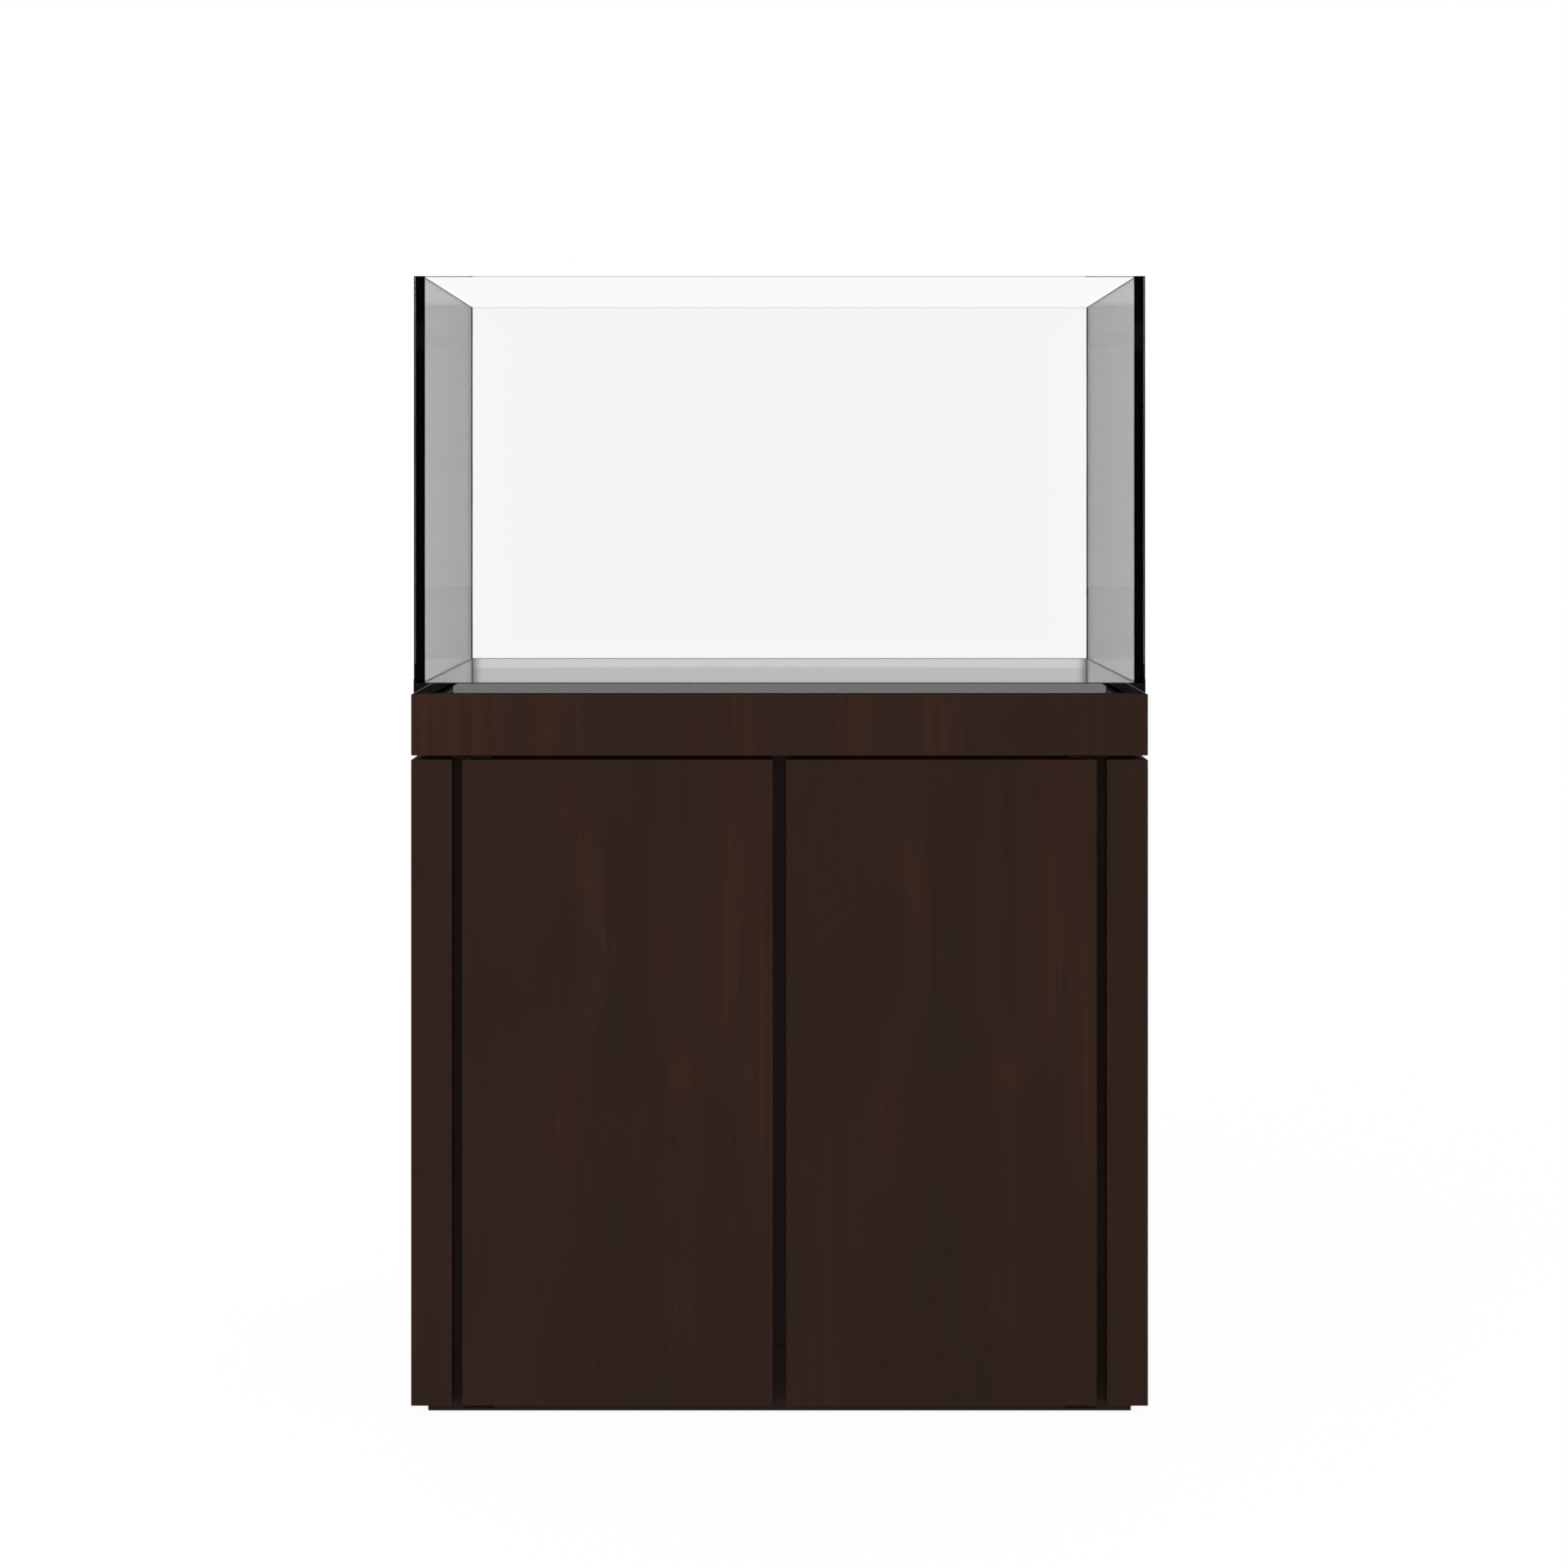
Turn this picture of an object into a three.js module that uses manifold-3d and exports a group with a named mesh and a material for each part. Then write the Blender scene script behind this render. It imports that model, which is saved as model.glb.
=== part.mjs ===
// A rimless glass aquarium on a two-door wooden cabinet stand.
// Millimetres. X runs to the right of someone facing the doors, Y away from them and Z up.
// The origin is on the floor, under the middle of the stand.
import * as THREE from "three";
import { mergeVertices } from "three/addons/utils/BufferGeometryUtils.js";
import Module from "manifold-3d";

// Tank
const tankWidth = 900;
const tankDepth = 500;
const wallHeight = 500;
const glass = 12;
const seam = 1; // silicone between two panes
const seamInset = 2; // the silicone stops this far inside the outer faces
const fillet = 1.5; // leg of the silicone fillet inside the tank

// Stand
const standHeight = 883;
const sideMargin = 0.5; // stand beyond the tank, on each side
const bandHeight = 75;
const shadowGap = 5; // open joint between the band and what is under it
const toeGap = 13; // doors and side panels stop this far above the floor
const cladding = 18; // side panels, and the band at the sides and the back
const boardThickness = 18; // walls, floor and front frame of the carcass
const topThickness = 25;
const backThickness = 12;
const stileWidth = 50;
const sideSlot = 12.5; // between a trim stile and its door
const centreGap = 16; // finger gap between the doors
const doorThickness = 16;
const doorGap = 4; // behind a closed door, where leaves and catches fit
const doorOverlap = 18; // door over the frame stile
const meetingOverlap = 22; // door over the mullion
const headOverlap = 38; // door over the top rail
const sillOverlap = 67; // door over the bottom rail
const backRailHeight = 138;
const hosePassage = 160; // height of the opening between the back rail and the back panel

// Pivot hinges
const pinInset = 8; // pin axis from the hinge edge of the door
const pinRadius = 2.5;
const shankRadius = 2;
const pinReach = 14; // pin inside the door
const pinTip = 0.5;
const boreClearance = 0.2;
const bushWall = 1.3;
const bushLength = 15;
const flangeRadius = 6;
const runningSpace = 1.5; // from the end of the door to the bracket
const bracketMetal = 2.5;
const plateFront = 5; // bracket plate in front of the pin axis
const plateOuter = 7; // bracket plate beyond the pin, towards the stile
const plateInner = 30; // and towards the middle
const leafStart = 5;
const leafHeight = 40;

// Catches
const magnetRadius = 7;
const magnetDepth = 2.6;
const strikeRadius = 8;
const bumperRadius = 5;
const catchDrop = 60; // magnet axis below the top of the door
const bumperDrop = 25; // bumper axis from each end of the door

// Clearances
const jointGap = 0.1; // hairline left by glue between two flat faces
const fitGap = 0.3; // round a piece that sits in a cut hole

// Facets of a full circle, and of the rounded edge of a door
const roundSides = 24;
const edgeSteps = 6;

// Derived planes
const standDepth = tankDepth + doorGap + doorThickness;
const halfWidth = tankWidth / 2 + sideMargin;
const frontY = -standDepth / 2;
const backY = standDepth / 2;
const doorBackY = frontY + doorThickness;
const carcassY = doorBackY + doorGap;
const carcassBackY = backY - cladding - jointGap;
const frameBackY = carcassY + boardThickness;
const carcassX = halfWidth - cladding - jointGap;
const wallInnerX = carcassX - boardThickness;
const bandZ = standHeight - bandHeight;
const doorTopZ = bandZ - shadowGap;
const carcassTopZ = standHeight - topThickness - jointGap;
const stileInnerX = halfWidth - stileWidth;
const doorOuterX = stileInnerX - sideSlot;
const doorInnerX = centreGap / 2;
const pinX = doorOuterX - pinInset;
const pinY = frontY + doorThickness / 2;
const catchX = doorInnerX + meetingOverlap / 2;
const sillZ = toeGap + sillOverlap;
const headZ = doorTopZ - headOverlap;
const tankFrontY = backY - tankDepth;
const tankX = tankWidth / 2;
const paneFloorZ = standHeight + jointGap;
const paneTopZ = paneFloorZ + glass;
const wallZ = paneTopZ + seam;
const rimZ = wallZ + wallHeight;

const finish = (color, roughness, metalness = 0) =>
  new THREE.MeshStandardMaterial({ color, roughness, metalness });
const clearGlass = finish(0xdfe8e6, 0.05);
clearGlass.transparent = true;
clearGlass.opacity = 0.35;
const silicone = finish(0x0b0b0b, 0.5);
const veneer = finish(0x33241e, 0.55);
const board = finish(0x2c201b, 0.6);
const bronze = finish(0x2b211c, 0.45, 0.6);
const steel = finish(0xb4b6b8, 0.3, 1);
const nylon = finish(0x1c1c1c, 0.5);
const felt = finish(0x2a2420, 0.95);

const aquarium = new THREE.Group();
const wasm = await Module();
wasm.setup();

function add(name, material, geometry) {
  const mesh = new THREE.Mesh(geometry, material);
  mesh.name = name;
  aquarium.add(mesh);
}

// A box between two planes on each axis, given in either order.
function box([x0, x1], [y0, y1], [z0, z1]) {
  const geometry = new THREE.BoxGeometry(Math.abs(x1 - x0), Math.abs(y1 - y0), Math.abs(z1 - z0));
  return geometry.translate((x0 + x1) / 2, (y0 + y1) / 2, (z0 + z1) / 2);
}

// A plan outline of [x, y] points, drawn up from one level to another.
function prism(outline, [z0, z1]) {
  const shape = new THREE.Shape(outline.map(([x, y]) => new THREE.Vector2(x, y)));
  const geometry = new THREE.ExtrudeGeometry(shape, { depth: z1 - z0, bevelEnabled: false });
  return geometry.translate(0, 0, z0);
}

// A body turned about Z from [radius, height] points, standing at (x, y, z).
// With up = -1 it hangs from that point instead.
function turned(profile, [x, y, z], up) {
  const points = profile.map(([radius, height]) => new THREE.Vector2(radius, height));
  const geometry = new THREE.LatheGeometry(points, roundSides);
  return geometry.rotateX((up * Math.PI) / 2).translate(x, y, z);
}

// A disc lying against a vertical face, between two planes on Y.
function disc(radius, [y0, y1], x, z) {
  const geometry = new THREE.CylinderGeometry(radius, radius, Math.abs(y1 - y0), roundSides);
  return geometry.translate(x, (y0 + y1) / 2, z);
}

function solidOf(geometry) {
  const bare = geometry.clone();
  bare.deleteAttribute("normal");
  bare.deleteAttribute("uv");
  const merged = mergeVertices(bare);
  return new wasm.Manifold(
    new wasm.Mesh({
      numProp: 3,
      vertProperties: merged.attributes.position.array,
      triVerts: new Uint32Array(merged.index.array),
    }),
  );
}

function geometryOf(solid) {
  const mesh = solid.getMesh();
  return new THREE.BufferGeometry()
    .setAttribute("position", new THREE.BufferAttribute(mesh.vertProperties, 3))
    .setIndex(new THREE.BufferAttribute(mesh.triVerts, 1));
}

// A round hole along Z, from z over the given depth in the direction of up.
function drill(solid, radius, [x, y, z], depth, up) {
  const past = fitGap; // the cut starts a little outside the face
  const length = depth + past;
  const tool = new THREE.CylinderGeometry(radius, radius, length, roundSides);
  tool.rotateX(Math.PI / 2).translate(x, y, z + up * (length / 2 - past));
  return solid.subtract(solidOf(tool));
}

const sides = [
  ["left", -1],
  ["right", 1],
];
const fronts = [
  ["front", -1],
  ["back", 1],
];

// The four walls stand on the floor pane, and the side panes fit between the front and the back.
function addPanes() {
  const tankBackY = tankFrontY + tankDepth;
  const across = [-tankX, tankX];
  const height = [wallZ, rimZ];
  add("floor_pane", clearGlass, box(across, [tankFrontY, tankBackY], [paneFloorZ, paneTopZ]));
  add("front_pane", clearGlass, box(across, [tankFrontY, tankFrontY + glass], height));
  add("back_pane", clearGlass, box(across, [tankBackY - glass, tankBackY], height));
  const along = [tankFrontY + glass + seam, tankBackY - glass - seam];
  for (const [name, side] of sides)
    add(`${name}_pane`, clearGlass, box([side * tankX, side * (tankX - glass)], along, height));
}

// An upright silicone joint fills the space between the edge of a side pane and the pane it
// meets, and turns the inner corner with a small fillet.
function addUprightSeams() {
  const outerX = tankX - seamInset;
  const innerX = tankX - glass - jointGap;
  const height = [wallZ, rimZ - seamInset];
  for (const [end, toBack] of fronts)
    for (const [name, side] of sides) {
      const faceY = toBack * (tankDepth / 2 - glass - jointGap) + tankFrontY + tankDepth / 2;
      const deep = (distance) => faceY - toBack * distance;
      const outline = [
        [side * outerX, deep(0)],
        [side * (innerX - fillet), deep(0)],
        [side * innerX, deep(seam + fillet)],
        [side * innerX, deep(seam - 2 * jointGap)],
        [side * outerX, deep(seam - 2 * jointGap)],
      ];
      add(`${end}_${name}_seam`, silicone, prism(outline, height));
    }
}

// A flat silicone bead lies between the foot of each wall and the floor pane.
function addFloorBeads() {
  const height = [paneTopZ + jointGap, wallZ - jointGap];
  const outerX = tankX - seamInset;
  const middleY = tankFrontY + tankDepth / 2;
  const outerY = tankDepth / 2 - seamInset;
  const innerY = tankDepth / 2 - glass - fillet;
  for (const [end, toBack] of fronts) {
    const along = [middleY + toBack * outerY, middleY + toBack * innerY];
    add(`${end}_floor_bead`, silicone, box([-outerX, outerX], along, height));
  }
  const between = [middleY - innerY + jointGap, middleY + innerY - jointGap];
  for (const [name, side] of sides) {
    const across = [side * outerX, side * (tankX - glass - fillet)];
    add(`${name}_floor_bead`, silicone, box(across, between, height));
  }
}

// The band is four mitred boards round the edge of the top board.
function addTop() {
  const height = [bandZ, standHeight];
  const innerX = halfWidth - cladding;
  const innerFrontY = doorBackY;
  const innerBackY = backY - cladding;
  const across = [-carcassX, carcassX];
  const along = [innerFrontY + jointGap, innerBackY - jointGap];
  add("top_board", veneer, box(across, along, [standHeight - topThickness, standHeight]));
  const cross = (outerY, innerY, shorter) => [
    [-halfWidth + shorter, outerY],
    [halfWidth - shorter, outerY],
    [innerX - shorter, innerY],
    [-innerX + shorter, innerY],
  ];
  add("front_band", veneer, prism(cross(frontY, innerFrontY, 0), height));
  add("back_band", veneer, prism(cross(backY, innerBackY, 0), height));
  for (const [name, side] of sides) {
    const outline = [
      [side * halfWidth, frontY + fitGap],
      [side * innerX, innerFrontY + fitGap],
      [side * innerX, innerBackY - fitGap],
      [side * halfWidth, backY - fitGap],
    ];
    add(`${name}_band`, veneer, prism(outline, height));
  }
}

// The carcass is the box that carries the tank: two walls, a floor, a back that is open above
// for hoses and cables, and a frame of rails, stiles and a mullion at the front.
function addCarcass() {
  const full = [-carcassX, carcassX];
  const inside = [-wallInnerX + jointGap, wallInnerX - jointGap];
  const deep = [frameBackY + jointGap, carcassBackY];
  const frame = [carcassY, frameBackY];
  const backBoard = [carcassBackY - backThickness, carcassBackY];
  const between = [sillZ + jointGap, headZ - jointGap];
  for (const [name, side] of sides)
    add(`${name}_wall`, board, box([side * carcassX, side * wallInnerX], deep, [0, carcassTopZ]));
  const floorDeep = [deep[0], backBoard[0] - jointGap];
  add("floor_board", board, box(inside, floorDeep, [sillZ - boardThickness, sillZ]));
  const backRailZ = carcassTopZ - backRailHeight;
  add("back_panel", board, box(inside, backBoard, [0, backRailZ - hosePassage]));
  add("back_rail", board, box(inside, backBoard, [backRailZ, carcassTopZ]));
  add("bottom_rail", board, box(full, frame, [0, sillZ]));
  add("top_rail", board, box(full, frame, [headZ, carcassTopZ]));
  for (const [name, side] of sides) {
    const across = [side * carcassX, side * (doorOuterX - doorOverlap)];
    add(`${name}_frame_stile`, board, box(across, frame, between));
  }
  const half = doorInnerX + meetingOverlap;
  add("mullion", board, box([-half, half], frame, between));
}

// Side panels and front trim stiles dress the carcass in the wood of the doors.
function addCladding() {
  const height = [toeGap, doorTopZ];
  for (const [name, side] of sides) {
    const panel = [side * halfWidth, side * (halfWidth - cladding)];
    add(`${name}_side_panel`, veneer, box(panel, [carcassY, backY], height));
    const trim = [side * halfWidth, side * stileInnerX];
    add(`${name}_trim_stile`, veneer, box(trim, [frontY, carcassY - jointGap], height));
  }
}

// A door turns inside its own thickness, because its rear edge is round about the pin.
function addDoor(name, side) {
  const arc = [];
  for (let step = 0; step <= edgeSteps; step++) {
    const angle = ((step / edgeSteps) * Math.PI) / 2;
    arc.push([
      side * (pinX + pinInset * Math.sin(angle)),
      pinY + (doorThickness / 2) * Math.cos(angle),
    ]);
  }
  const outline = [
    [side * doorOuterX, frontY],
    [side * doorInnerX, frontY],
    [side * doorInnerX, doorBackY],
    ...arc,
  ];
  let door = solidOf(prism(outline, [toeGap, doorTopZ]));
  const hole = pinRadius + boreClearance + bushWall + fitGap;
  for (const [z, up] of [
    [toeGap, 1],
    [doorTopZ, -1],
  ])
    door = drill(door, hole, [side * pinX, pinY, z], bushLength + fitGap, up);
  add(`${name}_door`, veneer, geometryOf(door));
}

// A flanged bush in the end of the door, a steel pin in it, and the bracket that holds the pin.
// up is the way from the bracket into the door.
function addPivot(name, side, endZ, up) {
  const axis = [side * pinX, pinY];
  const bore = pinRadius + boreClearance;
  const flangeFoot = -runningSpace + fitGap;
  const bush = [
    [bore, flangeFoot],
    [flangeRadius, flangeFoot],
    [flangeRadius, -fitGap],
    [bore + bushWall, -fitGap],
    [bore + bushWall, bushLength],
    [bore, bushLength],
    [bore, flangeFoot],
  ];
  add(`${name}_bush`, nylon, turned(bush, [...axis, endZ], up));

  const shankFoot = -runningSpace - bracketMetal;
  const shoulder = -runningSpace + jointGap;
  const pin = [
    [0, shankFoot],
    [shankRadius, shankFoot],
    [shankRadius, shoulder],
    [pinRadius, shoulder],
    [pinRadius, pinReach - pinTip],
    [pinRadius - pinTip, pinReach],
    [0, pinReach],
  ];
  add(`${name}_pin`, steel, turned(pin, [...axis, endZ], up));

  const plateZ = [endZ - up * runningSpace, endZ - up * (runningSpace + bracketMetal)];
  const rearY = carcassY - jointGap;
  const inner = side * (pinX - plateInner);
  const plate = box([side * (pinX + plateOuter), inner], [pinY - plateFront, rearY], plateZ);
  const leafFoot = Math.min(...plateZ);
  const leafX = [side * (pinX - leafStart), inner];
  const leaf = box(leafX, [rearY - bracketMetal, rearY], [leafFoot, leafFoot + leafHeight]);
  const bracket = solidOf(plate).add(solidOf(leaf));
  const holeFoot = Math.min(...plateZ) - fitGap;
  const drilled = drill(bracket, shankRadius + fitGap, [...axis, holeFoot], bracketMetal + 2 * fitGap, 1);
  add(`${name}_bracket`, bronze, geometryOf(drilled));
}

// A magnet on the mullion, its strike plate on the door, and two soft stops behind the door.
function addCatch(name, side) {
  const x = side * catchX;
  const magnetFace = carcassY - jointGap - magnetDepth;
  const z = doorTopZ - catchDrop;
  add(`${name}_magnet`, nylon, disc(magnetRadius, [magnetFace, carcassY - jointGap], x, z));
  const strike = [doorBackY + jointGap, magnetFace - jointGap];
  add(`${name}_strike_plate`, steel, disc(strikeRadius, strike, x, z));
  const bumper = [doorBackY + jointGap, carcassY - jointGap];
  const upperZ = doorTopZ - bumperDrop;
  const lowerZ = toeGap + bumperDrop;
  add(`${name}_upper_bumper`, felt, disc(bumperRadius, bumper, x, upperZ));
  add(`${name}_lower_bumper`, felt, disc(bumperRadius, bumper, x, lowerZ));
}

addPanes();
addUprightSeams();
addFloorBeads();
addTop();
addCarcass();
addCladding();
for (const [name, side] of sides) {
  addDoor(name, side);
  addPivot(`${name}_lower`, side, toeGap, 1);
  addPivot(`${name}_upper`, side, doorTopZ, -1);
  addCatch(name, side);
}

export default aquarium;
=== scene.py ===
"""Finishes a rimless aquarium and its two-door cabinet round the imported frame."""
import math

import bmesh
import bpy
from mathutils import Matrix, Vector


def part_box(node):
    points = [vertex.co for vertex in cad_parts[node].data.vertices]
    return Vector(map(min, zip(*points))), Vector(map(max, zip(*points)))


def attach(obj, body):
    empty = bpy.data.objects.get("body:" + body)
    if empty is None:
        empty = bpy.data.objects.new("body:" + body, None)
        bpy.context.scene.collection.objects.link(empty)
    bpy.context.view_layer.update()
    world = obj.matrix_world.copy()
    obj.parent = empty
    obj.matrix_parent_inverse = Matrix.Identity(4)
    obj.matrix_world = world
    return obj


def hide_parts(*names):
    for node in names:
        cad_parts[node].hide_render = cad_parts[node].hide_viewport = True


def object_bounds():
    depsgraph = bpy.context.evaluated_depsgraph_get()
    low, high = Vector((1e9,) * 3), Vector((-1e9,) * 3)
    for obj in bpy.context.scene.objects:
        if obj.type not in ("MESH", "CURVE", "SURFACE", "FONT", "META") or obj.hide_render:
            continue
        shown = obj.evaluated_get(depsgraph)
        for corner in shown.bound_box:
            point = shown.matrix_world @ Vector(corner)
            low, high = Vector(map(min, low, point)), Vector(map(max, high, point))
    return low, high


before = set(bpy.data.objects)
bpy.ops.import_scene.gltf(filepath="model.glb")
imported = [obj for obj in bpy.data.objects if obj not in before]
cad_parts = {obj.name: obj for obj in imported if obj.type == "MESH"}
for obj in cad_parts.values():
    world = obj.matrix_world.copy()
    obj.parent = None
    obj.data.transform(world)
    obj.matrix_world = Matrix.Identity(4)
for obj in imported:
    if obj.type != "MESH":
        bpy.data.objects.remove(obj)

bl_info = {
    "name": "Aquarium on Stand",
    "version": (1, 0, 0),
    "blender": (4, 5, 0),
    "location": "View3D > Sidebar > Aquarium",
    "description": "Finishes the panes, boards, doors, hinges and catches of an aquarium on a cabinet",
    "category": "Object",
}

CAD_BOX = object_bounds()
MM = 0.001
X, Y, Z = range(3)
ROOT = "tank_and_stand"
LEAF = {"left": "left_door_leaf", "right": "right_door_leaf"}
SIDES = ("left", "right")
SHEET = "sheet"

# how far each wall pane is let down into its bead
FOOT_SUNK = {"front": 0.85 * MM, "back": 0.96 * MM, "left": 0.96 * MM, "right": 0.96 * MM}

# silicone: its bite into the glass, how far it keeps in from the outer face, the hollow inside
# fillet, and how far a seam stops below the rim
BOND = 0.05 * MM
SET_BACK = 0.8 * MM
FILLET = 0.6 * MM
FILLET_STEPS = 5
BELOW_RIM = 0.2 * MM
BEAD_ROWS = 90

# silicone that laps the edge of the floor pane outside, and climbs near the front corner
LAP = 0.35 * MM
LAP_RISE = 0.3 * MM
CORNER_RISE = 4.7 * MM
CORNER_RUN = 22 * MM
LAP_END = 0.4 * MM

CLEAR_TINT = 0.992
GLASS_IOR = 1.34

WELD = 0.01 * MM
FLAT_TO = math.radians(0.5)
SHARP_FROM = math.radians(40)
FACE_ON = 0.99

BRACKET_ARRIS = 0.35 * MM
LEAF_GAP = 0.1 * MM
LEAF_THICKNESS = 2.5 * MM
HEAD_STAND = 0.05 * MM
# from the inner edge and the foot of a bracket
BRACKET_SCREWS = ((6 * MM, 13 * MM), (18 * MM, 29 * MM))
BACK_SCREW_INSET = 7 * MM
BACK_SCREW_END = 30 * MM
BACK_SCREW_SPACING = 130 * MM


# ---------------------------------------------------------------- settings


class AQUARIUM_PG_wood(bpy.types.PropertyGroup):
    """Colours and finish of the stained wood."""

    stain: bpy.props.FloatVectorProperty(
        name="Stain",
        description="Main colour of the espresso stain",
        subtype="COLOR",
        default=(0.0325, 0.0138, 0.0080),
    )
    glow: bpy.props.FloatVectorProperty(
        name="Glow",
        description="Redder colour where the stain took less",
        subtype="COLOR",
        default=(0.0500, 0.0170, 0.0082),
    )
    shade: bpy.props.FloatVectorProperty(
        name="Shade",
        description="Cooler colour of the dense grain",
        subtype="COLOR",
        default=(0.0266, 0.0136, 0.0090),
    )
    lacquer_roughness: bpy.props.FloatProperty(
        name="Lacquer Roughness",
        description="How dull the satin lacquer is",
        default=0.44,
        min=0,
        max=1,
        subtype="FACTOR",
    )
    arris: bpy.props.FloatProperty(
        name="Arris",
        description="Width of the rounded edges of a board",
        default=0.0008,
        unit="LENGTH",
    )


class AQUARIUM_PG_tank(bpy.types.PropertyGroup):
    """Edges and joints of the glass tank."""

    arris: bpy.props.FloatProperty(
        name="Polished Arris",
        description="Width of the polished edge of a pane",
        default=0.0006,
        unit="LENGTH",
    )
    wobble: bpy.props.FloatProperty(
        name="Bead Wobble",
        description="How far the edge of the silicone strays from a straight line",
        default=0.00015,
        unit="LENGTH",
    )
    silicone: bpy.props.FloatVectorProperty(
        name="Silicone",
        description="Colour of the silicone",
        subtype="COLOR",
        default=(0.0012, 0.0012, 0.0012),
    )
    edge_tint: bpy.props.FloatProperty(
        name="Edge Tint",
        description="Light left after it enters and leaves by the edges of a pane",
        default=0.235,
        min=0,
        max=1,
        subtype="FACTOR",
    )


class AQUARIUM_PG_hardware(bpy.types.PropertyGroup):
    """Brackets, catches and screws."""

    # painted shade: the bronze paint of the brackets is made this dark so that the plates in the gaps
    # above and below the doors read as the shade there
    bracket: bpy.props.FloatVectorProperty(
        name="Bracket",
        description="Colour of the bronze paint on the brackets",
        subtype="COLOR",
        default=(0.009, 0.0065, 0.0055),
    )
    head_radius: bpy.props.FloatProperty(
        name="Screw Head Radius",
        description="Radius of the head of a screw",
        default=0.0032,
        unit="LENGTH",
    )
    turn_seed: bpy.props.IntProperty(
        name="Turn Seed",
        description="Picks how far each screw was turned home",
        default=7,
    )


class AQUARIUM_PG_stage(bpy.types.PropertyGroup):
    """Floor, light and camera."""

    floor: bpy.props.FloatVectorProperty(
        name="Floor",
        description="Colour of the lit floor",
        subtype="COLOR",
        default=(1.0, 1.0, 1.0),
    )
    key_power: bpy.props.FloatProperty(
        name="Key Power",
        description="Power of the soft key light",
        default=60,
        unit="POWER",
    )
    eye_height: bpy.props.FloatProperty(
        name="Eye Height",
        description="Height of the camera above the floor",
        default=1.1166,
        unit="LENGTH",
    )
    distance: bpy.props.FloatProperty(
        name="Distance",
        description="From the camera to the front of the doors",
        default=3.04,
        unit="LENGTH",
    )


# ---------------------------------------------------------------- shader maths


class Wire:
    """A shader socket that can be used in sums."""

    def __init__(self, graph, socket):
        self.graph = graph
        self.socket = socket

    def _math(self, operation, first, second=0.0):
        return self.graph.node("ShaderNodeMath", {"operation": operation}, {0: first, 1: second})

    def __add__(self, other):
        return self._math("ADD", self, other)

    def __radd__(self, other):
        return self._math("ADD", other, self)

    def __sub__(self, other):
        return self._math("SUBTRACT", self, other)

    def __rsub__(self, other):
        return self._math("SUBTRACT", other, self)

    def __mul__(self, other):
        return self._math("MULTIPLY", self, other)

    def __rmul__(self, other):
        return self._math("MULTIPLY", other, self)

    def __truediv__(self, other):
        return self._math("DIVIDE", self, other)

    def __abs__(self):
        return self._math("ABSOLUTE", self)

    def most(self, other):
        return self._math("MAXIMUM", self, other)


class Graph:
    """Adds nodes to a node tree, each by its type, its settings and its inputs."""

    def __init__(self, tree):
        self.tree = tree
        tree.nodes.clear()

    def node(self, kind, settings=None, inputs=None, output=0):
        made = self.tree.nodes.new(kind)
        for name, value in (settings or {}).items():
            self._set(made, name, value)
        for key, value in (inputs or {}).items():
            self._feed(made.inputs[key], value)
        return Wire(self, made.outputs[output]) if made.outputs else made

    def _set(self, made, name, value):
        if name == "points":
            self._set_points(made.mapping, value)
        else:
            setattr(made, name, value)

    def _set_points(self, mapping, points):
        curve = mapping.curves[0]
        while len(curve.points) < len(points):
            curve.points.new(0.5, 0.5)
        for point, place in zip(curve.points, points):
            point.location = place
        mapping.update()

    def _feed(self, socket, value):
        if isinstance(value, Wire):
            self.tree.links.new(value.socket, socket)
        else:
            socket.default_value = value

    def split(self, vector):
        first = self.node("ShaderNodeSeparateXYZ", None, {0: vector})
        return [Wire(self, out) for out in first.socket.node.outputs]

    def join(self, x, y, z=0.0):
        return self.node("ShaderNodeCombineXYZ", None, {0: x, 1: y, 2: z})

    def noise(self, vector, scale=1.0, detail=2.0, roughness=0.5):
        inputs = {"Vector": vector, "Scale": scale, "Detail": detail, "Roughness": roughness}
        return self.node("ShaderNodeTexNoise", {"noise_dimensions": "3D"}, inputs)

    def ramp(self, value, low, high, to_low=0.0, to_high=1.0):
        settings = {"interpolation_type": "SMOOTHSTEP", "clamp": True}
        inputs = {0: value, 1: low, 2: high, 3: to_low, 4: to_high}
        return self.node("ShaderNodeMapRange", settings, inputs)

    def curve(self, value, points):
        return self.node("ShaderNodeFloatCurve", {"points": points}, {"Value": value})

    def mix(self, factor, first, second):
        settings = {"data_type": "RGBA", "clamp_factor": True}
        inputs = {0: factor, 6: first, 7: second}
        return self.node("ShaderNodeMix", settings, inputs, output=2)

    def bump(self, height, strength, distance):
        inputs = {"Height": height, "Strength": strength, "Distance": distance}
        return self.node("ShaderNodeBump", None, inputs)

    def object_place(self):
        return self.node("ShaderNodeTexCoord", None, None, output=3)


def opaque(colour):
    return (*colour, 1.0)


def make_material(name, build):
    """The material of that name, built once by build(graph), which gives the surface inputs."""
    if name in bpy.data.materials:
        return bpy.data.materials[name]
    material = bpy.data.materials.new(name)
    material.use_nodes = True
    graph = Graph(material.node_tree)
    surface = graph.node("ShaderNodeBsdfPrincipled", None, build(graph))
    graph.node("ShaderNodeOutputMaterial", None, {"Surface": surface})
    return material


# ---------------------------------------------------------------- materials

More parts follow.
